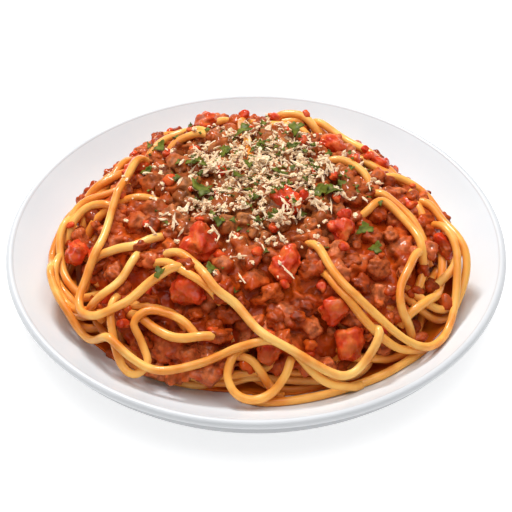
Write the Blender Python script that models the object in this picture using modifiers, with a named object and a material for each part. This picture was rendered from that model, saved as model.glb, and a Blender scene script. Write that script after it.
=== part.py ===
"""Spaghetti bolognese heaped on a round coupe plate, for Blender 4.5, in metres with +Z up.

The plate stands on z = 0 with its axis on Z.  The heap of pasta lies on the plate, the minced meat
sauce covers the heap, and the tomato dice sit in pockets in the sauce.
"""

import math

import bmesh
import bpy
from mathutils import Euler, Matrix, Vector, noise

MM = 0.001
GAP = 0.3 * MM  # clearance left between pieces that touch

# Plate: a turned coupe shape on a foot ring.
TURN_STEPS = 64
PLATE_RADIUS = 115 * MM
PLATE_HEIGHT = 28 * MM
LIP_RADIUS = 2.1 * MM  # half of the rounded lip's thickness
FLOOR_TOP = 5.5 * MM  # height of the flat part that the food lies on
FLAT_RADIUS = 70 * MM  # where the floor starts to climb
WALL_CURVE = 1.9  # power of the inner wall's climb
FOOT_OUTER = 66 * MM
FOOT_INNER = 61 * MM
FOOT_EDGE = 0.8 * MM  # rounding of the foot ring's two edges
FOOT_DEPTH = 2.4 * MM  # the underside stands this far above the table
OUTER_CURVE = 4.0  # power of the outer wall's climb

# Heap: a dome with an uneven foot.  Each lobe is (size, waves round the plate, turn in degrees).
HEAP_RADIUS = 93 * MM
HEAP_LOBES = (
    (4.2 * MM, 1, 86),
    (4.1 * MM, 2, -11),
    (3.5 * MM, 3, -30),
    (0.9 * MM, 7, 15),
    (0.7 * MM, 12, 40),
)
HEAP_HEIGHT = 49 * MM  # of the finished dome above the plate's floor
HEAP_FLANK = 2.2
HEAP_ROUND = 0.6
HEAP_RINGS = 9
HEAP_UNEVEN = 2.4 * MM
HEAP_WAVE = 20 * MM
SINK = 1.2 * MM  # how far an uncut piece reaches into what it is then cut to fit

# Meat sauce: a lumpy layer, thick in the middle and ragged at its edge.
SAUCE_DEPTH = 9 * MM
SAUCE_REACH = 0.9  # mean share of the heap's radius that the sauce covers
SAUCE_LOBES = ((0.025, 2, 60), (0.03, 3, -95), (0.02, 5, 20), (0.012, 8, 140))
SAUCE_FADE = (0.78, 0.98)  # the heap rises from under the sauce between these shares of its radius
LUMP_SIZE = 14 * MM
LUMP_HEIGHT = 5 * MM

# Tomato dice: place on the plate, longest side, turn about the surface's normal and tilt in degrees.
TOMATO_SHAPE = (1.0, 0.82, 0.62)
TOMATO_ROUNDING = 0.2
TOMATO_PROUD = 0.03  # share of its size by which a die's middle stands above the sauce
TOMATOES = (
    (-80, -20, 13, 20, 18),
    (-24, -30, 15, 60, 10),
    (-28, -51, 15, 10, 14),
    (13, -41, 14, 35, 12),
    (40, -69, 14, 75, 20),
    (34, -59, 13, 15, 10),
    (6, -72, 12, 50, 16),
    (14, -6, 14, 80, 14),
    (-56, 31, 13, 30, 20),
    (38, -22, 13, 5, 12),
    (-24, 69, 12, 65, 18),
    (36, 47, 12, 25, 14),
    (57, 40, 13, 50, 16),
    (84, -14, 11, 40, 12),
)


def smoothstep(low, high, value):
    share = min(1.0, max(0.0, (value - low) / (high - low)))
    return share * share * (3 - 2 * share)


def lobes(angle, rows):
    """Sum of a few waves round the plate."""
    return sum(size * math.cos(count * (angle - math.radians(turn))) for size, count, turn in rows)


def plate_top(radius):
    """Height of the plate's eating surface at a radius."""
    wall_end = PLATE_RADIUS - 1.7 * LIP_RADIUS
    share = max(0.0, radius - FLAT_RADIUS) / (wall_end - FLAT_RADIUS)
    return FLOOR_TOP + (PLATE_HEIGHT - 0.3 * LIP_RADIUS - FLOOR_TOP) * share**WALL_CURVE


def heap_radius(angle):
    return HEAP_RADIUS + lobes(angle, HEAP_LOBES)


def heap_share(x, y):
    """Distance from the middle, as a share of the heap's radius in that direction."""
    return math.hypot(x, y) / heap_radius(math.atan2(y, x))


def dome_top(x, y):
    """Height of the finished dish, sauce included, before its lumps."""
    share = min(1.0, heap_share(x, y))
    edge = plate_top(heap_radius(math.atan2(y, x)))
    base = FLOOR_TOP + (edge - FLOOR_TOP) * share**2
    return base + HEAP_HEIGHT * (1 - share**HEAP_FLANK) ** HEAP_ROUND


def pasta_top(x, y):
    """Height of the pasta, which lies lower where the sauce covers it."""
    covered = 1 - smoothstep(*SAUCE_FADE, heap_share(x, y))
    uneven = HEAP_UNEVEN * noise.noise(Vector((x, y, 0)) / HEAP_WAVE)
    return dome_top(x, y) + uneven - SAUCE_DEPTH * covered


def sauce_top(x, y):
    """Height of the sauce, with a rounded lump for each clump of mince."""
    nearest = noise.voronoi(Vector((x, y, dome_top(x, y))) / LUMP_SIZE)[0][0]
    return dome_top(x, y) + LUMP_HEIGHT * (0.35 - nearest**2)


def dome_normal(x, y):
    step = 1 * MM
    slope_x = (dome_top(x + step, y) - dome_top(x - step, y)) / (2 * step)
    slope_y = (dome_top(x, y + step) - dome_top(x, y - step)) / (2 * step)
    return Vector((-slope_x, -slope_y, 1)).normalized()


def clear_scene():
    for obj in list(bpy.data.objects):
        bpy.data.objects.remove(obj)


def new_collection(name):
    made = bpy.data.collections.new(name)
    bpy.context.scene.collection.children.link(made)
    return made


def new_material(name, color, roughness):
    made = bpy.data.materials.new(name)
    made.use_nodes = True
    shader = made.node_tree.nodes["Principled BSDF"]
    shader.inputs["Base Color"].default_value = (*color, 1)
    shader.inputs["Roughness"].default_value = roughness
    made.diffuse_color = (*color, 1)
    return made


def new_object(name, bm, collection, material=None):
    """Puts a finished bmesh in the scene as a smooth-shaded object."""
    for face in bm.faces:
        face.smooth = True
    mesh = bpy.data.meshes.new(name)
    bm.to_mesh(mesh)
    bm.free()
    if material:
        mesh.materials.append(material)
    made = bpy.data.objects.new(name, mesh)
    collection.objects.link(made)
    return made


def swollen_cutter(obj, collection):
    """A hidden copy of a piece with its surface moved out by the gap, to cut its neighbours with."""
    bpy.context.view_layer.update()
    graph = bpy.context.evaluated_depsgraph_get()
    mesh = bpy.data.meshes.new_from_object(obj.evaluated_get(graph))
    bm = bmesh.new()
    bm.from_mesh(mesh)
    bpy.data.meshes.remove(mesh)
    bmesh.ops.remove_doubles(bm, verts=bm.verts, dist=0.01 * MM)
    bm.normal_update()
    for vert in bm.verts:
        vert.co += vert.normal * GAP * vert.calc_shell_factor()
    made = new_object(obj.name + "_cutter", bm, collection)
    made.matrix_world = obj.matrix_world
    made.hide_render = True
    made.display_type = "WIRE"
    return made


def cut(obj, cutter):
    boolean = obj.modifiers.new("cut_" + cutter.name, "BOOLEAN")
    boolean.operation = "DIFFERENCE"
    boolean.solver = "EXACT"
    boolean.object = cutter


def plate_outline():
    """Half section of the plate, from the middle of its floor out over the lip and back underneath."""
    lip = Vector((PLATE_RADIUS - LIP_RADIUS, PLATE_HEIGHT - LIP_RADIUS))
    points = [(0, FLOOR_TOP), (FLAT_RADIUS, FLOOR_TOP)]
    for share in (0.25, 0.5, 0.7, 0.86, 1.0):
        radius = FLAT_RADIUS + (lip.x - 0.75 * LIP_RADIUS - FLAT_RADIUS) * share
        points.append((radius, plate_top(radius)))
    for step in range(5):
        angle = math.radians(125 - 36 * step)
        points.append((lip.x + LIP_RADIUS * math.cos(angle), lip.y + LIP_RADIUS * math.sin(angle)))
    wall_top = Vector(points[-1])
    for share in (0.87, 0.7, 0.45, 0.0):
        radius = FOOT_OUTER + (wall_top.x - FOOT_OUTER) * share
        points.append((radius, FOOT_DEPTH + (wall_top.y - FOOT_DEPTH) * share**OUTER_CURVE))
    points += [(FOOT_OUTER, FOOT_EDGE), (FOOT_OUTER - FOOT_EDGE, 0)]
    points += [(FOOT_INNER + FOOT_EDGE, 0), (FOOT_INNER, FOOT_EDGE)]
    return points + [(FOOT_INNER, FOOT_DEPTH), (0, FOOT_DEPTH)]


def make_plate(collection):
    """The plate, turned from its half section."""
    bm = bmesh.new()
    verts = [bm.verts.new((radius, 0, height)) for radius, height in plate_outline()]
    for first, second in zip(verts, verts[1:]):
        bm.edges.new((first, second))
    plate = new_object("plate", bm, collection, new_material("porcelain", (0.86, 0.86, 0.87), 0.15))
    turn = plate.modifiers.new("turn", "SCREW")
    turn.steps = turn.render_steps = TURN_STEPS
    turn.use_merge_vertices = True
    turn.merge_threshold = 0.05 * MM
    turn.use_normal_calculate = True
    turn.use_smooth_shade = True
    return plate


def press_ball(bm, reach, top, bottom):
    """Presses a unit ball's upper half onto one surface, and its equator and lower half onto another."""
    for vert in bm.verts:
        upper = vert.co.z > 0.01
        angle = math.atan2(vert.co.y, vert.co.x)
        radius = math.hypot(vert.co.x, vert.co.y) * reach(angle)
        x, y = radius * math.cos(angle), radius * math.sin(angle)
        vert.co = (x, y, top(x, y) if upper else bottom(x, y))
    bmesh.ops.triangulate(bm, faces=bm.faces)


def make_spaghetti(collection):
    """The heap of pasta, before it is cut to lie on the plate."""

    def underside(x, y):
        return plate_top(math.hypot(x, y)) - SINK

    bm = bmesh.new()
    bmesh.ops.create_uvsphere(bm, u_segments=TURN_STEPS, v_segments=2 * HEAP_RINGS, radius=1)
    press_ball(bm, heap_radius, pasta_top, underside)
    pasta = new_material("pasta", (0.86, 0.42, 0.12), 0.4)
    return new_object("spaghetti", bm, collection, pasta)


def make_meat_sauce(collection):
    """The layer of minced meat sauce, before it is cut to lie on the pasta."""

    def reach(angle):
        return heap_radius(angle) * (SAUCE_REACH + lobes(angle, SAUCE_LOBES))

    def underside(x, y):
        return pasta_top(x, y) - SINK

    bm = bmesh.new()
    bmesh.ops.create_icosphere(bm, subdivisions=5, radius=1)
    press_ball(bm, reach, sauce_top, underside)
    sauce = new_material("meat_sauce", (0.3, 0.08, 0.03), 0.35)
    return new_object("meat_sauce", bm, collection, sauce)


def make_tomato(number, row, collection, material):
    """One die of cooked tomato with soft edges, lying on the dome at its own turn and tilt."""
    x, y, size, turn, tilt = row
    x, y, size = x * MM, y * MM, size * MM
    bm = bmesh.new()
    bmesh.ops.create_cube(bm, size=1)
    bmesh.ops.scale(bm, vec=Vector(TOMATO_SHAPE) * size, verts=bm.verts)
    tomato = new_object(f"tomato_{number:02d}", bm, collection, material)
    edges = tomato.modifiers.new("soft_edges", "BEVEL")
    edges.width = TOMATO_ROUNDING * size
    edges.segments = 1
    edges.limit_method = "NONE"
    normal = dome_normal(x, y)
    lean = normal.to_track_quat("Z", "Y").to_matrix().to_4x4()
    own_turn = Euler((math.radians(tilt), 0, math.radians(turn))).to_matrix().to_4x4()
    place = Vector((x, y, dome_top(x, y))) + normal * TOMATO_PROUD * size
    tomato.matrix_world = Matrix.Translation(place) @ lean @ own_turn
    return tomato


clear_scene()
dish = new_collection("spaghetti_bolognese")
cutters = new_collection("cutters")
red = new_material("tomato", (0.55, 0.06, 0.02), 0.3)
plate = make_plate(dish)
tomatoes = [make_tomato(number, row, dish, red) for number, row in enumerate(TOMATOES, 1)]
spaghetti = make_spaghetti(dish)
meat_sauce = make_meat_sauce(dish)
cut(meat_sauce, swollen_cutter(spaghetti, cutters))
cut(spaghetti, swollen_cutter(plate, cutters))
for tomato in tomatoes:
    pocket = swollen_cutter(tomato, cutters)
    cut(spaghetti, pocket)
    cut(meat_sauce, pocket)
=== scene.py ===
"""Spaghetti bolognese on a white coupe plate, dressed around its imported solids."""

import math
import random

import bmesh
import bpy
import numpy as np
from mathutils import Euler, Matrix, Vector, noise
from mathutils.bvhtree import BVHTree
from mathutils.kdtree import KDTree


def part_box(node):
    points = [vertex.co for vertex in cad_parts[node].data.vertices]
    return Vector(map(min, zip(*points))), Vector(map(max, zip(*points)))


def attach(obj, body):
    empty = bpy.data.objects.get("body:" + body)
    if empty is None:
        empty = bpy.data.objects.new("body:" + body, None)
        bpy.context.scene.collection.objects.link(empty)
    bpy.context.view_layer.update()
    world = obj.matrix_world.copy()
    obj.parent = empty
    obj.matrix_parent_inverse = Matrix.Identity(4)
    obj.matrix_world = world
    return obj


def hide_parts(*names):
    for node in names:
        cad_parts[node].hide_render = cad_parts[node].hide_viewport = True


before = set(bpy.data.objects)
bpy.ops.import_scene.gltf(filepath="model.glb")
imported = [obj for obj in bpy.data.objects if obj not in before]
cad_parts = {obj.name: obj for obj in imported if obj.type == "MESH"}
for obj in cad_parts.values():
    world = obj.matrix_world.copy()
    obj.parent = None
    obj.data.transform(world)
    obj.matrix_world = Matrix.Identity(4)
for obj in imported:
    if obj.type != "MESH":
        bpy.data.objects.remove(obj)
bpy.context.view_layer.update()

# Studio ------------------------------------------------------------------------------------------
# The camera looks down from the diner's seat.  A wide soft lamp hangs overhead, a smaller one stands
# behind the dish, a little to the left, and makes wet food glint, and pale walls fill the shadows.  The
# table gives off a little light of its own, so the shadow on it stays weak.
MM = 0.001
CAMERA_RISE = math.radians(41.74)
CAMERA_DISTANCE = 650 * MM
CAMERA_AIM = Vector((0, 0, 16.1 * MM))


def soft_lamp(name, place, size, power):
    """A square lamp that faces the dish."""
    lamp = bpy.data.objects.new(name, bpy.data.lights.new(name, "AREA"))
    lamp.data.size = size
    lamp.data.energy = power
    lamp.location = place
    lamp.rotation_euler = (CAMERA_AIM - Vector(place)).to_track_quat("-Z", "Y").to_euler()
    bpy.context.collection.objects.link(lamp)


camera = bpy.data.objects.new("camera", bpy.data.cameras.new("camera"))
camera.data.lens = 97.66
towards_diner = Vector((0, -math.cos(CAMERA_RISE), math.sin(CAMERA_RISE)))
camera.location = CAMERA_AIM + CAMERA_DISTANCE * towards_diner
camera.rotation_euler = (math.pi / 2 - CAMERA_RISE, 0, 0)
bpy.context.collection.objects.link(camera)
bpy.context.scene.camera = camera
bpy.context.scene.view_settings.view_transform = "Standard"

soft_lamp("window_lamp", (-0.28, 0.7, 1.08), 0.26, 12.5)
soft_lamp("overhead_lamp", (0.0, 0.0, 1.4), 1.3, 12.5)
world = bpy.data.worlds.new("studio")
world.use_nodes = True
walls = world.node_tree.nodes["Background"]
walls.inputs["Color"].default_value = (1, 1, 1, 1)
walls.inputs["Strength"].default_value = 0.38
bpy.context.scene.world = world


def new_material(name, roughness):
    """A material with a bare Principled shader; returns it, its tree and that shader."""
    made = bpy.data.materials.new(name)
    made.use_nodes = True
    shader = made.node_tree.nodes["Principled BSDF"]
    shader.inputs["Roughness"].default_value = roughness
    return made, made.node_tree, shader


def finished(name, bm, material, smooth=True):
    """Turns a bmesh into an object at the origin with one material."""
    for face in bm.faces:
        face.smooth = smooth
    mesh = bpy.data.meshes.new(name)
    bm.to_mesh(mesh)
    bm.free()
    mesh.materials.append(material)
    made = bpy.data.objects.new(name, mesh)
    bpy.context.collection.objects.link(made)
    return made


floor_material, _, floor_shader = new_material("pale_floor", 0.9)
floor_shader.inputs["Base Color"].default_value = (0.75, 0.75, 0.75, 1)
floor_shader.inputs["Emission Color"].default_value = (1, 1, 1, 1)
floor_shader.inputs["Emission Strength"].default_value = 0.62
bm = bmesh.new()
bmesh.ops.create_grid(bm, x_segments=1, y_segments=1, size=3)
floor = finished("floor", bm, floor_material, smooth=False)

# Plate -------------------------------------------------------------------------------------------
# A plain white porcelain coupe plate, turned and glazed, with a rounded lip and a foot ring.  The lip is
# painted a little greyer, and the outside and underneath much greyer: painted shade.
PLATE_RADIUS = 115 * MM
PLATE_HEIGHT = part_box("plate")[1][2]
LIP = 2.1 * MM  # half of the rounded lip's thickness
FLOOR_TOP = 5.5 * MM
FLAT_RADIUS = 70 * MM
FOOT_OUTER = 66 * MM
FOOT_INNER = 61 * MM
FOOT_EDGE = 0.8 * MM
FOOT_DEPTH = 2.4 * MM
INNER_CURVE = 1.9  # powers of the two walls' climb
OUTER_CURVE = 4.0
PLATE_STEPS = 160


def plate_top(radius):
    """Height of the eating surface at a radius, or at an array of them."""
    wall_end = PLATE_RADIUS - 1.7 * LIP
    share = np.maximum(0.0, radius - FLAT_RADIUS) / (wall_end - FLAT_RADIUS)
    return FLOOR_TOP + (PLATE_HEIGHT - 0.3 * LIP - FLOOR_TOP) * share**INNER_CURVE


def arc(centre, radius, start, end, steps):
    """Points on an arc, from one angle in degrees to another."""
    turns = np.radians(np.linspace(start, end, steps))
    return [(centre[0] + radius * math.cos(t), centre[1] + radius * math.sin(t)) for t in turns]


def plate_outline():
    """Half section from the middle of the floor over the lip and back underneath."""
    lip = (PLATE_RADIUS - LIP, PLATE_HEIGHT - LIP)
    climb = np.linspace(FLAT_RADIUS - 10 * MM, lip[0] - 0.75 * LIP, 16)
    points = [(0, FLOOR_TOP)] + [(r, float(plate_top(r))) for r in climb]
    points += arc(lip, LIP, 125, -19, 10)
    top = points[-1]
    for share in np.linspace(1, 0, 14)[1:]:
        radius = FOOT_OUTER + (top[0] - FOOT_OUTER) * share
        points.append((radius, FOOT_DEPTH + (top[1] - FOOT_DEPTH) * share**OUTER_CURVE))
    points += arc((FOOT_OUTER - FOOT_EDGE, FOOT_EDGE), FOOT_EDGE, 0, -90, 4)
    points += arc((FOOT_INNER + FOOT_EDGE, FOOT_EDGE), FOOT_EDGE, -90, -180, 4)
    return points + [(FOOT_INNER, FOOT_DEPTH), (0, FOOT_DEPTH)]


def feed(tree, socket, value):
    """Links a socket to another one, or sets it to a number or a colour."""
    if isinstance(value, bpy.types.NodeSocket):
        tree.links.new(value, socket)
    else:
        socket.default_value = (*value, 1) if isinstance(value, tuple) else value


def node(tree, kind, **inputs):
    """Adds a shader node, or places a node group, and feeds some inputs; returns its outputs."""
    is_group = isinstance(kind, bpy.types.NodeTree)
    made = tree.nodes.new("ShaderNodeGroup" if is_group else kind)
    if is_group:
        made.node_tree = kind
    for name, value in inputs.items():
        feed(tree, made.inputs[name.replace("_", " ")], value)
    return made.outputs


def blend(tree, amount, first, second, mode="MIX"):
    """Mixes two colours; each of the three values is a socket or a plain value."""
    made = tree.nodes.new("ShaderNodeMix")
    made.data_type = "RGBA"
    made.blend_type = mode
    for place, value in ((0, amount), (6, first), (7, second)):  # the colour mix's own sockets
        feed(tree, made.inputs[place], value)
    return made.outputs[2]


def new_group(name, inputs, outputs):
    """A shader node group with named sockets; returns it, what it is given, and what it puts out."""
    made = bpy.data.node_groups.new(name, "ShaderNodeTree")
    for sockets, way in ((inputs, "INPUT"), (outputs, "OUTPUT")):
        for socket, kind in sockets.items():
            made.interface.new_socket(socket, in_out=way, socket_type="NodeSocket" + kind)
    return made, made.nodes.new("NodeGroupInput").outputs, made.nodes.new("NodeGroupOutput").inputs


# Soft noise over a piece: a mask that climbs between two of its levels, two colours mixed by that mask,
# and the noise itself as a height.
mottle, given, out = new_group(
    "mottle",
    {"Scale": "Float", "From": "Float", "To": "Float", "Dark": "Color", "Light": "Color"},
    {"Color": "Color", "Mask": "Float", "Height": "Float"},
)
spot = node(mottle, "ShaderNodeTexCoord")["Object"]
haze = node(mottle, "ShaderNodeTexNoise", Vector=spot, Scale=given["Scale"], Detail=3.0)["Fac"]
mask = node(
    mottle, "ShaderNodeMapRange", Value=haze, From_Min=given["From"], From_Max=given["To"]
)["Result"]
mottle.links.new(blend(mottle, mask, given["Dark"], given["Light"]), out["Color"])
mottle.links.new(mask, out["Mask"])
mottle.links.new(haze, out["Height"])


def vary_roughness(tree, shader, mask, low, high):
    """Takes a shader's roughness from low to high along a mask."""
    spread = node(tree, "ShaderNodeMapRange", Value=mask, To_Min=low, To_Max=high)["Result"]
    tree.links.new(spread, shader.inputs["Roughness"])


def relief(tree, shader, scale, depth):
    """Fine bumps on a surface, this deep at most."""
    height = node(tree, mottle, Scale=scale)["Height"]
    bump = node(tree, "ShaderNodeBump", Height=height, Distance=depth, Strength=0.4)["Normal"]
    tree.links.new(bump, shader.inputs["Normal"])


def glaze(name, roughness, dark, light):
    """Fired glaze, a little uneven in colour and gloss."""
    made, tree, shader = new_material(name, roughness)
    cloud = node(tree, mottle, Scale=30.0, From=0.35, To=0.65, Dark=dark, Light=light)
    tree.links.new(cloud["Color"], shader.inputs["Base Color"])
    vary_roughness(tree, shader, cloud["Mask"], roughness - 0.05, roughness + 0.05)
    relief(tree, shader, 400.0, 0.02 * MM)
    return made, shader


porcelain, shader = glaze("porcelain", 0.35, (0.735, 0.79, 0.825), (0.755, 0.81, 0.845))
shader.inputs["Coat Weight"].default_value = 0.15
shader.inputs["Coat Roughness"].default_value = 0.15
# The greyer glazes of the lip and of the outside and underneath are painted shade.
porcelain_lip_painted_shade, _ = glaze("porcelain_lip_painted_shade", 0.4, (0.585, 0.6, 0.62), (0.615, 0.63, 0.65))
porcelain_underside_painted_shade, _ = glaze("porcelain_underside_painted_shade", 0.4, (0.315, 0.325, 0.34), (0.335, 0.345, 0.36))
UNDERNEATH = -0.2  # a face whose normal points down by more than this is outside or underneath
bm = bmesh.new()
outline = [bm.verts.new((radius, 0, height)) for radius, height in plate_outline()]
outline_edges = [bm.edges.new(pair) for pair in zip(outline, outline[1:])]
bmesh.ops.spin(
    bm,
    geom=outline + outline_edges,
    axis=(0, 0, 1),
    cent=(0, 0, 0),
    angle=2 * math.pi,
    steps=PLATE_STEPS,
    use_merge=True,
)
bmesh.ops.remove_doubles(bm, verts=bm.verts, dist=0.01 * MM)
bmesh.ops.recalc_face_normals(bm, faces=bm.faces)
plate = finished("porcelain_plate", bm, porcelain)
plate.data.materials.append(porcelain_lip_painted_shade)
plate.data.materials.append(porcelain_underside_painted_shade)
# Faces at the lip and faces that point down take the greyer porcelain: painted shade.
for face in plate.data.polygons:
    at_lip = math.hypot(face.center.x, face.center.y) > PLATE_RADIUS - 2 * LIP
    face.material_index = 2 if face.normal.z < UNDERNEATH else int(at_lip)
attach(plate, "root")
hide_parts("plate")

# Ground ------------------------------------------------------------------------------------------
# The food is laid piece by piece on a height map of what lies there already, so that strands rest on
# strands and crumbles rest on both.  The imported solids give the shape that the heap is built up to.
CELL = 0.6 * MM
HALF = 120 * MM
CELLS = round(2 * HALF / CELL)
across = (np.arange(CELLS) + 0.5) * CELL - HALF
grid_x, grid_y = np.meshgrid(across, across, indexing="ij")
grid_r = np.hypot(grid_x, grid_y)
COARSE = 4  # the solids are smooth, so they are read at every fourth cell


def node_top(name):
    """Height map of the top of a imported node, 0 where there is none of it."""
    graph = bpy.context.evaluated_depsgraph_get()
    solid = BVHTree.FromObject(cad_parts[name], graph)
    coarse = np.zeros((CELLS // COARSE + 1,) * 2)
    spots = np.arange(coarse.shape[0]) * COARSE * CELL - HALF
    for i, x in enumerate(spots):
        for j, y in enumerate(spots):
            hit = solid.ray_cast(Vector((x, y, 0.2)), Vector((0, 0, -1)))[0]
            if hit:
                coarse[i, j] = hit.z
    u = (grid_x + HALF) / (COARSE * CELL)
    v = (grid_y + HALF) / (COARSE * CELL)
    i, j = u.astype(int), v.astype(int)
    s, t = u - i, v - j
    low = coarse[i, j] * (1 - t) + coarse[i, j + 1] * t
    high = coarse[i + 1, j] * (1 - t) + coarse[i + 1, j + 1] * t
    return low * (1 - s) + high * s


def cells(x, y):
    """Indices of the cells at some places."""
    i = np.clip(((np.asarray(x) + HALF) / CELL).astype(int), 0, CELLS - 1)
    j = np.clip(((np.asarray(y) + HALF) / CELL).astype(int), 0, CELLS - 1)
    return i, j


def ball_cells(radius):
    """Offsets of the cells under a ball, and how far the ball's surface stands above its middle there."""
    reach = int(radius / CELL)
    i, j = np.meshgrid(*2 * [np.arange(-reach, reach + 1)], indexing="ij")
    square = radius**2 - (i**2 + j**2) * CELL**2
    inside = square > 0
    return i[inside], j[inside], np.sqrt(square[inside])


def rest_height(x, y, radius):
    """Lowest that the middle of a ball of this radius can lie at each place, on what is there."""
    i, j = cells(x, y)
    di, dj, cap = ball_cells(radius)
    under = ground[np.clip(i[:, None] + di, 0, CELLS - 1), np.clip(j[:, None] + dj, 0, CELLS - 1)]
    return (under + cap).max(axis=1)


def cover(x, y, z, radius):
    """Raises the height map to the tops of the balls laid at these places."""
    i, j = cells(x, y)
    di, dj, cap = ball_cells(radius)
    spots = (np.clip(i[:, None] + di, 0, CELLS - 1), np.clip(j[:, None] + dj, 0, CELLS - 1))
    np.maximum.at(ground, spots, np.asarray(z)[:, None] + cap)


pasta_aim = node_top("spaghetti")
sauce_aim = node_top("meat_sauce")
skin = np.maximum(pasta_aim, sauce_aim)
heap_mask = pasta_aim > plate_top(grid_r) + 0.2 * MM
turn_of_cell = np.arctan2(grid_y, grid_x)
EDGE_TURNS = np.radians(np.arange(-180, 181, 2.0))


def outer_radii(inside):
    """How far a mask reaches in each direction."""
    radii = []
    for turn in EDGE_TURNS:
        beside = np.abs(np.angle(np.exp(1j * (turn_of_cell - turn)))) < math.radians(1.5)
        radii.append(grid_r[inside & beside].max())
    return np.array(radii)


edge_radii = outer_radii(heap_mask)


def edge_at(turn):
    """Radius of the heap's foot in a direction."""
    return np.interp(turn, EDGE_TURNS, edge_radii)


share_of_cell = grid_r / edge_at(turn_of_cell)
ground = plate_top(np.minimum(grid_r, PLATE_RADIUS - 2 * LIP))

# Core --------------------------------------------------------------------------------------------
# The inside of the heap, sauce-soaked pasta that is only glimpsed between the strands.  It stands for
# everything below the outer few layers.
CORE_DEPTH = 9 * MM
CORE_SHARE = 0.88


def field_at(field, x, y):
    """Value of a height map or mask at some places."""
    i, j = cells(x, y)
    return field[i, j]


def unit_ball(subdivisions):
    """A bmesh with a ball of radius 1."""
    bm = bmesh.new()
    bmesh.ops.create_icosphere(bm, subdivisions=subdivisions, radius=1)
    return bm


def press_ball(bm, share, top, bottom):
    """Presses a unit ball onto an upper and a lower height map, out to a share of the heap's radius."""
    for vert in bm.verts:
        turn = math.atan2(vert.co.y, vert.co.x)
        radius = math.hypot(vert.co.x, vert.co.y) * share(turn) * edge_at(turn)
        x, y = radius * math.cos(turn), radius * math.sin(turn)
        height = field_at(top if vert.co.z > 0.01 else bottom, x, y)
        vert.co = (x, y, height)


core_top = pasta_aim - np.interp(share_of_cell, (0.5, CORE_SHARE), (CORE_DEPTH, 1.6 * CORE_DEPTH))
core_top = np.maximum(core_top, plate_top(grid_r) + 1 * MM)
soaked_pasta, tree, shader = new_material("soaked_pasta", 0.5)
soaked = node(
    tree, mottle, Scale=90.0, From=0.35, To=0.65, Dark=(0.34, 0.07, 0.008), Light=(0.5, 0.13, 0.016)
)
tree.links.new(soaked["Color"], shader.inputs["Base Color"])
vary_roughness(tree, shader, soaked["Mask"], 0.42, 0.58)
relief(tree, shader, 350.0, 0.8 * MM)
bm = unit_ball(6)
press_ball(bm, lambda turn: CORE_SHARE, core_top, plate_top(grid_r) + 0.1 * MM)
core = finished("soaked_core", bm, soaked_pasta)
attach(core, "root")
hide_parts("spaghetti")
inside_core = share_of_cell < CORE_SHARE - 0.01
ground[inside_core] = np.maximum(ground, core_top)[inside_core]

# Strands -----------------------------------------------------------------------------------------
# Thick spaghetti, cooked, about 3.8 mm across.  Each strand wanders over the heap and turns back at its
# foot; of several tries the one that fills the emptiest place is laid, until the heap has its shape.
STRAND_RADIUS = 1.95 * MM
STEP = 1.8 * MM
END_SHARE = 0.84  # a strand's ends lie nearer to the middle than this, where the sauce covers them
PRESS_SHARE = 0.82  # past this share of the heap's radius a strand is pressed in
PRESS_ROOM = 0.17
TURN_SHARE = 0.9  # past this share it turns back
TIGHTEST = 18 * MM  # radius of that turn
BRIDGE_ROUNDS = 30  # more rounds let a strand span wider gaps
SOFTEN_ROUNDS = 4
DIP_LENGTH = 12 * MM  # how much of each end goes down into the sauce
rng = random.Random(11)


def wander(start, heading, length, bend, wave):
    """Plan of a strand: a line that swings to and fro, turned back and pressed in at the heap's foot."""
    phase = rng.uniform(0, 2 * math.pi)
    lean = rng.uniform(-0.4, 0.4) * bend
    x, y = start
    line = []
    for step in range(int(length / STEP)):
        turn = math.atan2(y, x)
        edge = edge_at(turn)
        share = math.hypot(x, y) / edge
        pressed = share
        if share >= PRESS_SHARE:
            pressed = PRESS_SHARE + PRESS_ROOM * math.tanh((share - PRESS_SHARE) / PRESS_ROOM)
        line.append((pressed * edge * math.cos(turn), pressed * edge * math.sin(turn)))
        curve = lean + bend * math.sin(2 * math.pi * step * STEP / wave + phase)
        if share > TURN_SHARE:
            tight = min(1, (share - TURN_SHARE) / 0.15) / TIGHTEST
            outward = max(0, 0.4 + math.cos(heading - turn))
            curve += math.copysign(tight, math.sin(heading - turn)) * outward
        heading += curve * STEP
        x += STEP * math.cos(heading)
        y += STEP * math.sin(heading)
    return np.array(line)


def settle(line, sink):
    """Heights at which a strand lies on the ground, bridging the small gaps."""
    low = rest_height(line[:, 0], line[:, 1], STRAND_RADIUS) - sink
    height = low.copy()
    for _ in range(BRIDGE_ROUNDS):
        height[1:-1] = np.maximum(low[1:-1], 0.5 * (height[:-2] + height[2:]))
    for _ in range(SOFTEN_ROUNDS):
        height[1:-1] = 0.25 * height[:-2] + 0.5 * height[1:-1] + 0.25 * height[2:]
    return height


def lay(line, sink=0.0, dip=0.0):
    """Lays a strand; with a dip its two ends go down under the sauce, but never into the plate."""
    height = settle(line, sink)
    from_end = np.minimum(np.arange(len(line)), np.arange(len(line))[::-1]) * STEP
    height -= dip * np.maximum(0, 1 - from_end / DIP_LENGTH) ** 2
    height = np.maximum(height, plate_top(np.hypot(*line.T)) + 1.05 * STRAND_RADIUS)
    cover(line[:, 0], line[:, 1], height, STRAND_RADIUS)
    return np.column_stack([line, height])


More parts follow.
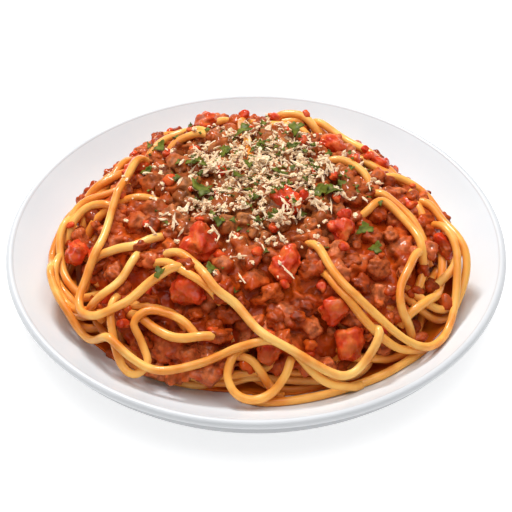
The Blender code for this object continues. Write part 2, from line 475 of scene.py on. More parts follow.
def best_line(tries, limit, low_share, bend):
    """The try that fills the emptiest places between a share of the radius and the foot, under a limit."""
    best, best_score = None, -math.inf
    in_reach = (share_of_cell > low_share) & (share_of_cell < 0.99)
    open_cells = np.argwhere((limit - ground > STRAND_RADIUS) & in_reach)
    for _ in range(tries):
        picks = [tuple(open_cells[rng.randrange(len(open_cells))]) for _ in range(8)]
        i, j = max(picks, key=lambda cell: limit[cell] - ground[cell])
        start = (across[i], across[j])
        along = math.atan2(start[1], start[0]) + math.pi / 2 * rng.choice((-1, 1)) + rng.gauss(0, 0.45)
        heading = along if rng.random() < 0.6 else rng.uniform(-math.pi, math.pi)
        halves = []
        for way in (heading + math.pi, heading):
            reach = rng.uniform(45, 120) * MM
            halves.append(wander(start, way, reach, rng.uniform(0.1, 1) * bend, rng.uniform(60, 150) * MM))
        line = np.vstack([halves[0][:0:-1], halves[1]])
        share = np.hypot(*line.T) / edge_at(np.arctan2(line[:, 1], line[:, 0]))
        buried = np.flatnonzero(share < END_SHARE)
        if len(buried) < 2 or buried[-1] - buried[0] < 20:
            continue
        line = line[buried[0] : buried[-1] + 1]
        x, y = line.T
        room = field_at(limit, x, y) - rest_height(x, y, STRAND_RADIUS) - STRAND_RADIUS
        if room.min() < -4 * MM or np.mean(room < -1 * MM) > 0.25:
            continue
        score = np.clip(room, -2 * MM, 4 * MM).mean() * len(line) ** 0.5
        if score > best_score:
            best, best_score = line, score
    return best


def fill(most, tries, limit, low_share, bend, sink=0.0, dip=0.0):
    """Lays up to this many strands, one for each round in which a try fits."""
    laid = []
    for _ in range(most):
        line = best_line(tries, limit, low_share, bend)
        if line is not None:
            laid.append(lay(line, sink=sink, dip=dip))
    return laid


strands = fill(120, 40, pasta_aim + 0.5 * MM, low_share=0.8, bend=45)


def strand_mesh(name, lines, roundness=2):
    """One mesh of closed round strands along some lines, each a little uneven in thickness."""
    curve = bpy.data.curves.new(name, "CURVE")
    curve.dimensions = "3D"
    curve.bevel_depth = STRAND_RADIUS
    curve.bevel_resolution = roundness
    curve.use_fill_caps = True
    for line in lines:
        spline = curve.splines.new("POLY")
        spline.points.add(len(line) - 1)
        spline.points.foreach_set("co", np.column_stack([line, np.ones(len(line))]).ravel())
        girth = rng.uniform(0.92, 1.04)
        swell = [girth + 0.1 * noise.noise(Vector(point) / (14 * MM)) for point in line]
        spline.points.foreach_set("radius", swell)
    holder = bpy.data.objects.new(name, curve)
    bpy.context.collection.objects.link(holder)
    graph = bpy.context.evaluated_depsgraph_get()
    mesh = bpy.data.meshes.new_from_object(holder.evaluated_get(graph))
    bpy.data.objects.remove(holder)
    bm = bmesh.new()
    bm.from_mesh(mesh)
    bmesh.ops.remove_doubles(bm, verts=bm.verts, dist=0.01 * MM)
    return finished(name, bm, pasta)


def paint(obj, name, values):
    """Gives every vertex of a piece a value for its material to read."""
    obj.data.attributes.new(name, "FLOAT", "POINT").data.foreach_set("value", values)


def vertex_places(obj):
    """Coordinates of a piece's vertices, as three arrays."""
    co = np.empty(len(obj.data.vertices) * 3)
    obj.data.vertices.foreach_get("co", co)
    return co.reshape(-1, 3).T


def tone_strands(obj, lines, tones):
    """Paints each vertex with its strand's tone, and a darker red deeper in the heap: sauce and painted
    shade.
    """
    tree = KDTree(sum(len(line) for line in lines))
    tone_of = []
    for line, tone in zip(lines, tones):
        for point in line:
            tree.insert(point, len(tone_of))
            tone_of.append(tone)
    tree.balance()
    paint(obj, "tone", [tone_of[tree.find(vert.co)[1]] for vert in obj.data.vertices])
    x, y, z = vertex_places(obj)
    paint(obj, "sauce_and_shade", np.clip((field_at(skin, x, y) - 1 * MM - z) / (9 * MM), 0, 0.6))


def ramp(tree, value, *stops):
    """Colours at stops along a value; each stop is (place, colour)."""
    made = tree.nodes.new("ShaderNodeValToRGB")
    tree.links.new(value, made.inputs["Fac"])
    while len(made.color_ramp.elements) < len(stops):
        made.color_ramp.elements.new(0.5)
    for element, (place, color) in zip(made.color_ramp.elements, stops):
        element.position = place
        element.color = (*color, 1)
    return made.outputs["Color"]


def attribute(tree, name):
    """A value that the vertices of the piece carry."""
    made = tree.nodes.new("ShaderNodeAttribute")
    made.attribute_name = name
    return made.outputs["Fac"]


# Patches of sauce that cling to something bare; Most is how much of it they hide.
sauce_smear, given, out = new_group(
    "sauce_smear",
    {"Bare": "Color", "Sauce": "Color", "Scale": "Float", "From": "Float", "To": "Float", "Most": "Float"},
    {"Color": "Color", "Mask": "Float"},
)
smear = node(
    sauce_smear,
    "ShaderNodeMapRange",
    Value=node(sauce_smear, mottle, Scale=given["Scale"])["Height"],
    From_Min=given["From"],
    From_Max=given["To"],
    To_Max=given["Most"],
)["Result"]
sauce_smear.links.new(blend(sauce_smear, smear, given["Bare"], given["Sauce"]), out["Color"])
sauce_smear.links.new(smear, out["Mask"])

pasta, tree, shader = new_material("cooked_pasta", 0.32)
bare = ramp(
    tree,
    attribute(tree, "tone"),
    (0.0, (0.9, 0.36, 0.055)),
    (0.5, (0.97, 0.47, 0.095)),
    (1.0, (0.98, 0.56, 0.15)),
)
smeared = node(
    tree, sauce_smear, Bare=bare, Sauce=(0.8, 0.25, 0.03), Scale=55.0, From=0.42, To=0.62, Most=1.0
)
# Strands deeper in the heap go towards a darker red: partly sauce, partly painted shade.
color = blend(tree, attribute(tree, "sauce_and_shade"), smeared["Color"], (0.66, 0.15, 0.012))
tree.links.new(color, shader.inputs["Base Color"])
vary_roughness(tree, shader, smeared["Mask"], 0.35, 0.28)
shader.inputs["Specular IOR Level"].default_value = 0.1
shader.inputs["Coat Weight"].default_value = 0.5
shader.inputs["Coat Roughness"].default_value = 0.18
shader.inputs["Subsurface Weight"].default_value = 0.12
shader.inputs["Subsurface Radius"].default_value = (1.0, 0.4, 0.15)
shader.inputs["Subsurface Scale"].default_value = 2 * MM
relief(tree, shader, 700.0, 0.15 * MM)

half = len(strands) // 2
for name, lines in (("lower_strands", strands[:half]), ("upper_strands", strands[half:])):
    piece = strand_mesh(name, lines)
    tone_strands(piece, lines, [rng.random() for _ in lines])
    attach(piece, "root")

# Meat sauce --------------------------------------------------------------------------------------
# Minced beef cooked down in tomato: hundreds of clumps of small grains, bound by a thick sauce.  The
# clumps are set in a sheet of sauce, and all of it is fused into one skin.
FUSE_CELL = 0.8 * MM
SHEET_DEPTH = 5 * MM
LARGE = 4 * MM  # clumps from this size up are made from a finer ball
MOST_TRIANGLES = 190000
DRY_MIDDLE = 14 * MM  # the driest mince lies this far behind the plate's middle
sauce_edge = outer_radii(sauce_aim > 0)


def sauce_share(turn):
    """How far the sheet of sauce reaches, as a share of the heap's radius, with a ragged edge."""
    ragged = 0.05 * noise.noise(Vector((math.cos(turn), math.sin(turn), 3)) * 3.1)
    return np.interp(turn, EDGE_TURNS, sauce_edge) / edge_at(turn) - 0.05 + ragged


def add_copy(whole, template, reshape):
    """Adds a copy of a small template to a mesh, with a function applied to its vertices."""
    piece = template.copy()
    for vert in piece.verts:
        vert.co = reshape(vert.co)
    piece.to_mesh(scratch)
    piece.free()
    whole.from_mesh(scratch)


scratch = bpy.data.meshes.new("scratch")


def clump(bm, template, place, size, seed):
    """One clump of mince: a squashed ball made of grains."""
    shape = Vector((rng.uniform(0.85, 1.2), rng.uniform(0.75, 1.0), rng.uniform(0.6, 0.85)))
    spin = Euler([rng.uniform(-0.5, 0.5), rng.uniform(-0.5, 0.5), rng.uniform(0, 6.3)]).to_matrix()
    offset = Vector((seed * 7.3, seed * 3.1, seed * 5.7))

    def grow(direction):
        broad = noise.noise(direction * 1.2 + offset)
        grain = noise.voronoi(direction * size / (3.6 * MM) + offset)[0][0]
        fine = noise.noise(direction * size / (0.9 * MM) + offset)
        swell = 1 + 0.4 * broad + 0.5 * (0.45 - grain) + 0.05 * fine
        return place + spin @ Vector(a * b for a, b in zip(direction, shape)) * size * swell

    add_copy(bm, template, grow)


def scatter(count, inside, size_low, size_high, packing):
    """Places and sizes in a mask, kept apart; at a packing of 1 the nearest two just touch."""
    spots = np.argwhere(inside)
    chosen = []
    for _ in range(count * 12):
        if len(chosen) == count:
            break
        i, j = spots[rng.randrange(len(spots))]
        x, y = across[i] + rng.uniform(-0.5, 0.5) * CELL, across[j] + rng.uniform(-0.5, 0.5) * CELL
        size = rng.uniform(size_low, size_high)
        if all((x - a) ** 2 + (y - b) ** 2 > (packing * (size + c)) ** 2 for a, b, c in chosen):
            chosen.append((x, y, size))
    return chosen


def around(padded):
    """The nine views of a padded map that are shifted by up to one cell."""
    return [padded[i : i + CELLS, j : j + CELLS] for i in range(3) for j in range(3)]


def blur(field, times):
    """Softens a height map or mask."""
    for _ in range(times):
        field = sum(around(np.pad(field, 1, mode="edge"))) / 9
    return field


def cover_mesh(obj, give=0.0):
    """Raises the height map to the top of a finished piece, less what a thing sinks into it."""
    x, y, z = vertex_places(obj)
    top = np.zeros_like(ground)
    np.maximum.at(top, cells(x, y), z)
    np.maximum(ground, np.max(around(np.pad(top, 1)), axis=0) - give, out=ground)


sauce_mask = (blur(sauce_aim > 0, 2) > 0.99) & (share_of_cell < 0.97)
# Room is left for the strands that lie on the sauce.
sauce_aim = sauce_aim - np.interp(share_of_cell, (0.55, 0.8), (0.5 * MM, 3.5 * MM))
# At the diner's side the meat reaches the plate: place and size of each clump there, in millimetres.
FOOT_CLUMPS = (
    (-43, -73, 5), (-35, -76, 5.6), (-27, -78, 6), (-19, -80, 5.6), (-12, -77, 5),
    (-38, -67, 6), (-29, -71, 6.4), (-20, -72, 6), (-44, -64, 5.4), (-31, -64, 6),
    (22, -76, 5), (30, -74, 5), (54, -64, 5),
)
clump_rows = scatter(190, sauce_mask, 4.2 * MM, 6.4 * MM, packing=0.56)
clump_rows += scatter(200, sauce_mask, 2.4 * MM, 3.8 * MM, packing=0.8)
fine_ball, plain_ball = unit_ball(4), unit_ball(3)
bm = bmesh.new()
clump_middles = []
for number, (x, y, size) in enumerate(clump_rows):
    is_small = size < LARGE
    z = field_at(sauce_aim, x, y) - 0.45 * size + rng.gauss(0, 0.7 * MM) - (0.6 * MM if is_small else 0)
    place = Vector((x, y, z))
    clump(bm, plain_ball if is_small else fine_ball, place, size, number)
    clump_middles.append((place, size, rng.random()))
for number, (x, y, size) in enumerate(FOOT_CLUMPS):
    x, y, size = x * MM, y * MM, size * MM
    place = Vector((x, y, float(rest_height([x], [y], 0.6 * size)[0])))
    clump(bm, fine_ball, place, size, 600 + number)
    # The clumps at the foot lie in the heap's shade, so they get the lighter tones: painted light.
    clump_middles.append((place, size, rng.uniform(0.7, 0.95)))
on_plate = plate_top(grid_r) + 0.5 * MM
sheet_top = np.maximum(blur(sauce_aim, 3) - 3.8 * MM, on_plate + 1.5 * MM)
sheet = unit_ball(6)
press_ball(sheet, sauce_share, sheet_top, np.maximum(sheet_top - SHEET_DEPTH, on_plate))
sheet_mesh = bpy.data.meshes.new("sheet")
sheet.to_mesh(sheet_mesh)
sheet.free()
bm.from_mesh(sheet_mesh)


def fused(name, bm, cell, material):
    """Fuses the overlapping closed shells of a bmesh into one skin."""
    rough = finished(name, bm, material)
    fuse = rough.modifiers.new("fuse", "REMESH")
    fuse.mode = "VOXEL"
    fuse.voxel_size = cell
    graph = bpy.context.evaluated_depsgraph_get()
    mesh = bpy.data.meshes.new_from_object(rough.evaluated_get(graph))
    bpy.data.objects.remove(rough)
    bm = bmesh.new()
    bm.from_mesh(mesh)
    return bm


def thinned_below(obj, most):
    """Thins a piece's hidden underside until it has at most this many triangles."""
    count = sum(len(face.vertices) - 2 for face in obj.data.polygons)
    if count <= most:
        return
    underside = obj.vertex_groups.new(name="underside")
    underside.add([vert.index for vert in obj.data.vertices if vert.normal.z < -0.15], 1.0, "REPLACE")
    thin = obj.modifiers.new("thin", "DECIMATE")
    thin.ratio = most / count
    thin.vertex_group = "underside"
    thin.vertex_group_factor = 100
    graph = bpy.context.evaluated_depsgraph_get()
    mesh = bpy.data.meshes.new_from_object(obj.evaluated_get(graph))
    obj.modifiers.remove(thin)
    obj.data = mesh
    obj.vertex_groups.clear()


def grainy(bm, depth, wave):
    """Pushes a skin in and out by a fine noise."""
    bm.normal_update()
    for vert in bm.verts:
        vert.co += vert.normal * depth * noise.noise(vert.co / wave)


def tone_clumps(obj, middles):
    """Paints each vertex: its clump's tone, how far outside the clumps it lies, and how dry it is there."""
    tree = KDTree(len(middles))
    for number, (place, size, tone) in enumerate(middles):
        tree.insert(place, number)
    tree.balance()
    tones, wets, dries = [], [], []
    for vert in obj.data.vertices:
        near = min(tree.find_n(vert.co, 5), key=lambda found: found[2] / middles[found[1]][1])
        place, size, tone = middles[near[1]]
        tones.append(tone)
        dry = min(1.0, max(0.0, (62 * MM - math.hypot(vert.co.x, vert.co.y - DRY_MIDDLE)) / (30 * MM)))
        wets.append(min(1.0, max(0.0, (near[2] / size - 0.8 - 0.15 * dry) / 0.35)))
        dries.append(dry)
    paint(obj, "tone", tones)
    paint(obj, "wet", wets)
    paint(obj, "dry", dries)


mince, tree, shader = new_material("minced_meat_sauce", 0.38)
moist = ramp(
    tree,
    attribute(tree, "tone"),
    (0.0, (0.25, 0.03, 0.004)),
    (0.3, (0.4, 0.07, 0.013)),
    (0.6, (0.5, 0.11, 0.03)),
    (0.85, (0.62, 0.17, 0.06)),
    (1.0, (0.58, 0.1, 0.01)),
)
plain = ramp(
    tree,
    attribute(tree, "tone"),
    (0.0, (0.17, 0.05, 0.012)),
    (0.4, (0.3, 0.095, 0.025)),
    (0.8, (0.46, 0.17, 0.055)),
    (1.0, (0.42, 0.08, 0.012)),
)
meat = blend(tree, attribute(tree, "dry"), moist, plain)
grains = node(tree, mottle, Scale=420.0, From=0.35, To=0.6, Dark=(0.55, 0.5, 0.45), Light=(1.15, 1.1, 1.0))
meat = blend(tree, 1.0, meat, grains["Color"], "MULTIPLY")
thin = node(
    tree, mottle, Scale=90.0, From=0.35, To=0.65, Dark=(0.38, 0.03, 0.002), Light=(0.58, 0.085, 0.006)
)
deep = node(
    tree, mottle, Scale=130.0, From=0.35, To=0.65, Dark=(0.22, 0.035, 0.004), Light=(0.44, 0.08, 0.01)
)
sauce = blend(tree, attribute(tree, "dry"), thin["Color"], deep["Color"])
smeared = node(tree, sauce_smear, Bare=meat, Sauce=sauce, Scale=75.0, From=0.48, To=0.64, Most=0.65)
color = blend(tree, attribute(tree, "wet"), smeared["Color"], sauce)
tree.links.new(color, shader.inputs["Base Color"])
vary_roughness(tree, shader, attribute(tree, "dry"), 0.34, 0.46)
shader.inputs["Specular IOR Level"].default_value = 0.05
shader.inputs["Coat Weight"].default_value = 0.3
shader.inputs["Coat Roughness"].default_value = 0.07
relief(tree, shader, 800.0, 0.6 * MM)

bm = fused("fused_sauce", bm, FUSE_CELL, mince)
grainy(bm, 0.35 * MM, 1.9 * MM)
meat_sauce = finished("fused_meat_sauce", bm, mince)
thinned_below(meat_sauce, MOST_TRIANGLES)
tone_clumps(meat_sauce, clump_middles)
cover_mesh(meat_sauce, give=1.2 * MM)
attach(meat_sauce, "root")
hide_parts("meat_sauce")

# Ring strands ------------------------------------------------------------------------------------
# Spaghetti that shows round the sauce and through its thin edge, with its ends tucked into it.  A few
# strands are strewn, and those that stand out have routes of their own on the plate, in millimetres.
RING_ROUTES = (
    ((-54, 34), (-62, 27), (-70, 21), (-78, 16), (-86, 9), (-91, -2)),
    ((-56, 20), (-64, 13), (-74, 10), (-82, 7), (-87, -2), (-89, -12)),
    ((-60, -2), (-68, 1), (-76, 4), (-83, -1), (-86, -10)),
    ((-54, 38), (-49, 47), (-42, 54), (-34, 57), (-26, 53), (-20, 46)),
    ((-44, 40), (-38, 47), (-29, 49), (-20, 48)),
    ((0, 58), (6, 64), (14, 64), (22, 61), (28, 55)),
    ((4, 70), (14, 72), (24, 69), (33, 61)),
    ((28, 26), (35, 28), (43, 26), (50, 19), (54, 10)),
    ((56, 22), (64, 25), (72, 24), (80, 19), (86, 9), (90, -2)),
    ((-80, 14), (-88, 8), (-93, 0), (-94, -8), (-91, -21), (-86, -33), (-78, -41)),
    ((-84, 4), (-89, -8), (-87, -22), (-83, -31), (-76, -37)),
    ((-88, -14), (-90, -26), (-87, -37), (-81, -45), (-74, -50), (-66, -54)),
    ((50, 8), (58, 4), (66, -3), (72, -12), (75, -20), (74, -32), (70, -42)),
    ((-56, -50), (-50, -54), (-42, -56), (-34, -59), (-28, -64)),
    ((-20, -70), (-12, -74), (-3, -76), (5, -82), (12, -84)),
    ((84, -8), (84, -20), (82, -32), (78, -43), (71, -51), (62, -57)),
)


def smooth_line(points):
    """An even smooth line through a few points, each stretch a Catmull-Rom curve."""
    points = np.array(points) * MM
    ends = np.vstack([2 * points[0] - points[1], points, 2 * points[-1] - points[-2]])
    fine = []
    for a, b, c, d in zip(ends, ends[1:], ends[2:], ends[3:]):
        for t in np.linspace(0, 1, 24, endpoint=False):
            square, cube = (2 * a - 5 * b + 4 * c - d) * t**2, (3 * b - a - 3 * c + d) * t**3
            fine.append(0.5 * (2 * b + (c - a) * t + square + cube))
    fine = np.array(fine + [ends[-2]])
    along = np.concatenate([[0], np.cumsum(np.hypot(*np.diff(fine, axis=0).T))])
    even = np.linspace(0, along[-1], int(along[-1] / STEP) + 2)
    return np.column_stack([np.interp(even, along, fine[:, k]) for k in (0, 1)])


# Fewer strands are strewn at the front, where the meat shows between them.
front_share = np.clip((-grid_y - 15 * MM) / (20 * MM), 0, 1)
ring_limit = skin + 1.5 * MM - 6 * MM * front_share
ring_strands = fill(70, 40, ring_limit, low_share=0.66, bend=40, sink=0.2 * MM, dip=6 * MM)
ring_strands += [lay(smooth_line(route), sink=0.5 * MM, dip=6 * MM) for route in RING_ROUTES]
piece = strand_mesh("ring_strands", ring_strands)
tone_strands(piece, ring_strands, [rng.random() for _ in ring_strands])
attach(piece, "root")

# Mince clumps ------------------------------------------------------------------------------------
# Minced beef again: the clumps that stand proud of the sauce, each with its own crumbly skin.  They are
# set about half into the sheet of sauce, which holds them.
BARE_SPOTS = ((-14, -53, 5), (-11, -60, 5.8), (-18, -47, 4.8))  # where the sheet would show smooth
bm = bmesh.new()
proud_rows = [(x * MM, y * MM, size * MM) for x, y, size in BARE_SPOTS]
proud_rows += scatter(147, sauce_mask, 3.6 * MM, 6.0 * MM, packing=0.82)
proud_middles = []
for number, (x, y, size) in enumerate(proud_rows):
    z = field_at(skin, x, y) - 0.55 * size + rng.gauss(0, 0.5 * MM)
    if number < len(BARE_SPOTS):
        z = float(rest_height([x], [y], 0.6 * size)[0]) - 0.3 * size
    place = Vector((x, y, z))
    clump(bm, fine_ball, place, size, 500 + number)
    proud_middles.append((place, size * 1.4, rng.random()))
mince_clumps = finished("mince_clumps", bm, mince)
tone_clumps(mince_clumps, proud_middles)
cover_mesh(mince_clumps, give=0.8 * MM)
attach(mince_clumps, "root")

# Tomato dice -------------------------------------------------------------------------------------
# Peeled tomato, cut in dice and cooked until the edges go soft.  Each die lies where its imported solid
# does, sunk into the sauce, and some of the sauce clings to it.
tomato_red, tree, shader = new_material("cooked_tomato", 0.25)
flesh = ramp(
    tree,
    node(tree, mottle, Scale=190.0)["Height"],
    (0.35, (0.5, 0.028, 0.006)),
    (0.52, (0.66, 0.066, 0.012)),
    (0.68, (0.76, 0.16, 0.03)),
)
smeared = node(
    tree, sauce_smear, Bare=flesh, Sauce=(0.48, 0.095, 0.016), Scale=120.0, From=0.5, To=0.66, Most=0.8
)
tree.links.new(smeared["Color"], shader.inputs["Base Color"])
vary_roughness(tree, shader, smeared["Mask"], 0.22, 0.34)
relief(tree, shader, 600.0, 0.2 * MM)
shader.inputs["Specular IOR Level"].default_value = 0.1
shader.inputs["Coat Weight"].default_value = 0.3
shader.inputs["Coat Roughness"].default_value = 0.08
shader.inputs["Subsurface Weight"].default_value = 0.2
shader.inputs["Subsurface Radius"].default_value = (1.0, 0.2, 0.1)
shader.inputs["Subsurface Scale"].default_value = 3 * MM
for name, packed in sorted(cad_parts.items()):
    if not name.startswith("tomato_"):
        continue
    bm = bmesh.new()
    bm.from_mesh(packed.data)
    bmesh.ops.remove_doubles(bm, verts=bm.verts, dist=0.01 * MM)
    bmesh.ops.subdivide_edges(bm, edges=bm.edges, cuts=7, use_grid_fill=True)
    grainy(bm, 3.2 * MM, 7 * MM)
    bmesh.ops.smooth_vert(bm, verts=bm.verts, factor=0.5, use_axis_x=True, use_axis_y=True, use_axis_z=True)
    grainy(bm, 1.2 * MM, 2.8 * MM)
    grainy(bm, 0.3 * MM, 1.1 * MM)
    die = finished("cooked_" + name, bm, tomato_red)
    cover_mesh(die)
    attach(die, "root")
    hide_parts(name)

# Tomato shreds -----------------------------------------------------------------------------------
# Flesh that has come off the dice in cooking: the same tomato in small torn lumps, which lie loose
# between the clumps all over the sauce.
bm = bmesh.new()
for number, (x, y, size) in enumerate(scatter(60, sauce_mask, 1.6 * MM, 3.4 * MM, packing=2.2)):
    z = float(rest_height([x], [y], 0.5 * size)[0]) - 0.3 * size
    clump(bm, plain_ball, Vector((x, y, z)), size, 2000 + number)
tomato_shreds = finished("tomato_shreds", bm, tomato_red)
cover_mesh(tomato_shreds, give=0.3 * MM)
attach(tomato_shreds, "root")

# Thin sauce --------------------------------------------------------------------------------------
# Oil and tomato juice that has run out of the sauce.  It lies as a thin film on the plate round the
# foot of the heap, and reaches furthest on the diner's right.
thin_sauce, tree, shader = new_material("thin_sauce", 0.25)
oily = node(
    tree, mottle, Scale=60.0, From=0.35, To=0.65, Dark=(0.62, 0.09, 0.004), Light=(0.8, 0.22, 0.012)
)
tree.links.new(oily["Color"], shader.inputs["Base Color"])
vary_roughness(tree, shader, oily["Mask"], 0.3, 0.2)
relief(tree, shader, 250.0, 0.15 * MM)
shader.inputs["Specular IOR Level"].default_value = 0.1
shader.inputs["Coat Weight"].default_value = 0.25
shader.inputs["Coat Roughness"].default_value = 0.05


def film_share(turn):
    """How far the film reaches, as a share of the heap's radius: nearly all of it on the diner's right."""
    ragged = 0.02 * noise.noise(Vector((math.cos(turn), math.sin(turn), 8)) * 5)
    return 0.945 + 0.035 * math.cos(turn - math.radians(-60)) + ragged


bm = unit_ball(6)
film_top = plate_top(grid_r) + 1.5 * MM
press_ball(bm, film_share, film_top, plate_top(grid_r) + 0.1 * MM)
film = finished("thin_sauce_film", bm, thin_sauce)
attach(film, "root")

# Top strands -------------------------------------------------------------------------------------
# The spaghetti that lies over the sauce, the same cooked pasta as the rest.  Each strand has its own
# route on the plate, in millimetres, and its two ends go down into the sauce.
ROUTES = (
    ((91, -12), (90, -22), (86, -29), (78, -34)),
    ((72, 10), (80, 5), (86, -5), (91, -15), (94, -24), (92, -33), (87, -42)),
    ((76, -24), (70, -31), (66, -40), (62, -49), (63, -57), (70, -58)),
    ((-56, -54), (-50, -59), (-42, -65), (-34, -70), (-24, -72), (-15, -70)),
    ((-58, -46), (-62, -56), (-61, -66), (-57, -75), (-51, -79), (-46, -75), (-49, -68), (-52, -63),
     (-46, -59), (-39, -60), (-31, -64), (-25, -69)),
    ((-77, -34), (-71, -28), (-63, -28), (-54, -29), (-46, -25), (-38, -20)),
    ((-50, -30), (-54, -38), (-59, -46), (-66, -51), (-74, -50)),
    ((74, -60), (66, -67), (54, -75), (40, -81), (28, -85), (14, -88), (2, -88), (-6, -84)),
    ((12, -72), (20, -79), (29, -84), (38, -84), (45, -80)),
    ((28, -42), (35, -55), (45, -64), (57, -69), (66, -67), (74, -60)),
    ((-46, -36), (-38, -42), (-30, -49), (-23, -54), (-15, -58)),
    ((-4, -70), (-9, -76), (-12, -83), (-9, -89), (-2, -91), (6, -89), (12, -84), (15, -77)),
    ((-92, -20), (-91, -31), (-86, -43), (-79, -52), (-71, -61), (-62, -69), (-54, -75), (-44, -80),
     (-33, -81), (-20, -79), (-8, -76), (2, -75), (10, -72)),
    ((44, -12), (50, -9), (57, -3), (65, -10), (71, -20), (74, -32)),
    ((-42, -32), (-33, -37), (-26, -45), (-18, -57), (-8, -62), (3, -74), (14, -78), (26, -82),
     (37, -83), (46, -77), (52, -70), (50, -62)),
    ((20, -28), (27, -36), (33, -49), (40, -58), (52, -63), (64, -67), (74, -66), (82, -57),
     (87, -45), (89, -33), (89, -21), (85, -10), (78, -2)),
    ((-50, 36), (-56, 26), (-60, 12), (-64, -3), (-68, -22), (-74, -36), (-77, -45), (-75, -54),
     (-66, -60), (-56, -57), (-46, -50), (-37, -48), (-29, -45)),
)
top_strands = [lay(smooth_line(route), sink=0.2 * MM, dip=6 * MM) for route in ROUTES]
piece = strand_mesh("top_strands", top_strands, roundness=3)
tone_strands(piece, top_strands, [rng.uniform(0.4, 1) for _ in top_strands])
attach(piece, "root")

# Loose mince -------------------------------------------------------------------------------------
# Clumps that lie over the ends of the strands, where these go under the sauce, and in the gaps between
# the bare strands round its edge.
loose_mask = heap_mask & (share_of_cell > 0.74) & (share_of_cell < 0.96)
bm = bmesh.new()
loose_middles = []
for line in ring_strands + top_strands:
    for x, y, z in (line[0], line[-1]):
        if field_at(share_of_cell, x, y) < 0.88:
            place, size = Vector((x, y, z + 3 * MM)), rng.uniform(3.6, 4.8) * MM
            clump(bm, fine_ball, place, size, 3000 + len(loose_middles))
            loose_middles.append((place, size, rng.random()))
for number, (x, y, size) in enumerate(scatter(110, loose_mask, 2.6 * MM, 5.2 * MM, packing=1.0)):
    z = float(rest_height([x], [y], 0.55 * size)[0]) - 0.25 * size
    if z + 0.7 * size > field_at(skin, x, y) + 2 * MM:
        continue
    clump(bm, plain_ball if size < LARGE else fine_ball, Vector((x, y, z)), size, 1000 + number)
    loose_middles.append((Vector((x, y, z)), size, rng.random()))
loose_mince = finished("loose_mince", bm, mince)
tone_clumps(loose_mince, loose_middles)
cover_mesh(loose_mince)
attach(loose_mince, "root")

# Grated cheese -----------------------------------------------------------------------------------
# Hard cheese, grated coarsely and strewn over the middle: pale crumbs and short shreds, thickest at the
# top.  They lie loose in small heaps on whatever is below.
cheese, tree, shader = new_material("grated_cheese", 0.55)
pale = node(tree, mottle, Scale=220.0, From=0.3, To=0.6, Dark=(0.84, 0.55, 0.3), Light=(0.95, 0.73, 0.48))
tree.links.new(pale["Color"], shader.inputs["Base Color"])
vary_roughness(tree, shader, pale["Mask"], 0.48, 0.62)
relief(tree, shader, 1500.0, 0.1 * MM)
shader.inputs["Subsurface Weight"].default_value = 0.15
shader.inputs["Subsurface Radius"].default_value = (1.0, 0.7, 0.4)
shader.inputs["Subsurface Scale"].default_value = 2 * MM
small_ball = unit_ball(2)
bm = bmesh.new()


def crumb(x, y, size, stretch, seed):
    """One torn crumb or, stretched and thinner, one short shred."""
    thin = stretch**-0.5
    shape = Vector((stretch, rng.uniform(0.6, 1.0) * thin, rng.uniform(0.5, 0.8) * thin)) * size
    spin = Euler([rng.uniform(-0.6, 0.6), rng.uniform(-0.6, 0.6), rng.uniform(0, 6.3)]).to_matrix()
    z = float(rest_height([x], [y], 0.7 * size)[0])
    place, offset = Vector((x, y, z)), Vector((seed * 3.3, 0, 0))

    def tear(direction):
        swell = 1 + 1.1 * noise.noise(direction * 1.9 + offset)
        return place + spin @ Vector(a * b for a, b in zip(direction, shape)) * swell

    add_copy(bm, small_ball, tear)
    cover(np.array([x]), np.array([y]), np.array([z]), 0.7 * size)


HEAPS = 330
THICK_HEAPS = 120
CHEESE_REACH = 62  # millimetres from the middle of the cheese
for heap in range(HEAPS):
    thick = heap < THICK_HEAPS
    middle_x = rng.gauss(3, 19 if thick else 31)
    middle_y = rng.gauss(15, 20 if thick else 31)
    if math.hypot(middle_x, middle_y - 8) > CHEESE_REACH:
        continue
    for number in range(rng.randint(5, 13) if thick else rng.randint(1, 4)):
        x = rng.gauss(middle_x, 2.1) * MM
        y = rng.gauss(middle_y, 2.1) * MM
        size = (0.45 + 0.9 * rng.random() ** 1.5) * MM
        crumb(x, y, size, rng.uniform(1.8, 3.2) if rng.random() < 0.35 else 1.15, heap * 20 + number)
grated_cheese = finished("grated_cheese", bm, cheese, smooth=False)
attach(grated_cheese, "root")

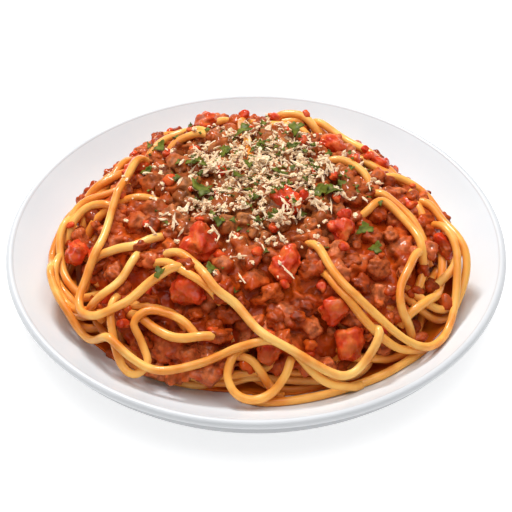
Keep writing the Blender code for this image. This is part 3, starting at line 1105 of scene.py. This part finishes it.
# Parsley -----------------------------------------------------------------------------------------
# Flat-leaf parsley, chopped and strewn last: torn leaf pieces that curl, and small flecks between the
# cheese.  Each is a lobed sheet, and all get their thickness at the end.
parsley, tree, shader = new_material("parsley_leaf", 0.4)
dark_green, light_green = (0.055, 0.066, 0.006), (0.17, 0.185, 0.022)
green = node(tree, mottle, Scale=300.0, From=0.35, To=0.65, Dark=dark_green, Light=light_green)
tree.links.new(green["Color"], shader.inputs["Base Color"])
vary_roughness(tree, shader, green["Mask"], 0.35, 0.45)
relief(tree, shader, 900.0, 0.15 * MM)
shader.inputs["Specular IOR Level"].default_value = 0.12
LEAVES = (  # place and size in millimetres
    (-6, 46, 4.6), (-24, 3, 5.8), (-46, 42, 3.8), (-51, 21, 3), (-14, 29, 3.6), (19, 45, 4),
    (29, 1, 4.6), (48, -22, 4), (8, -21, 3), (-19, -45, 3.6), (-16, -22, 2.8), (-41, -50, 3),
    (52, -31, 3.4), (18, 33, 3.2), (34, -2, 4), (2, 34, 3.2), (-30, 24, 3), (12, 12, 2.8),
    (-8, 10, 2.8), (40, 10, 3), (-36, 10, 2.6),
)
FLECKS = 210
LEAF_THICKNESS = 0.25 * MM
leaf_grid = bmesh.new()
bmesh.ops.create_grid(leaf_grid, x_segments=8, y_segments=8, size=1)


def leaf(bm, x, y, size, seed):
    """One torn leaf piece with a lobed edge, curled along its midrib."""
    curl, twist = rng.uniform(0.2, 0.9), rng.uniform(-0.4, 0.4)
    spin = Euler([rng.uniform(-0.5, 0.5), rng.uniform(-0.5, 0.5), rng.uniform(0, 6.3)]).to_matrix()
    place = Vector((x, y, float(rest_height([x], [y], 0.45 * size)[0]) - 0.1 * size))

    def shape(co):
        reach = max(abs(co.x), abs(co.y))
        turn = math.atan2(co.y, co.x)
        edge = 0.72 + 0.22 * math.cos(3 * turn + seed) + 0.12 * math.cos(7 * turn + 2 * seed)
        u, v = reach * edge * math.cos(turn), reach * edge * math.sin(turn)
        ripple = 0.12 * noise.noise(Vector((u * 3, v * 3, seed)))
        rise = curl * v * v - 0.35 * u * u + twist * u * v + ripple
        return place + spin @ Vector((u * 1.25, v, rise)) * size

    add_copy(bm, leaf_grid, shape)


bm = bmesh.new()
for number, (x, y, size) in enumerate(LEAVES):
    leaf(bm, x * MM, y * MM, size * MM, number)
for number in range(FLECKS):
    leaf(bm, rng.gauss(4, 24) * MM, rng.gauss(14, 23) * MM, rng.uniform(0.7, 1.9) * MM, number)
bmesh.ops.solidify(bm, geom=bm.faces, thickness=LEAF_THICKNESS)
chopped_parsley = finished("chopped_parsley", bm, parsley)
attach(chopped_parsley, "root")
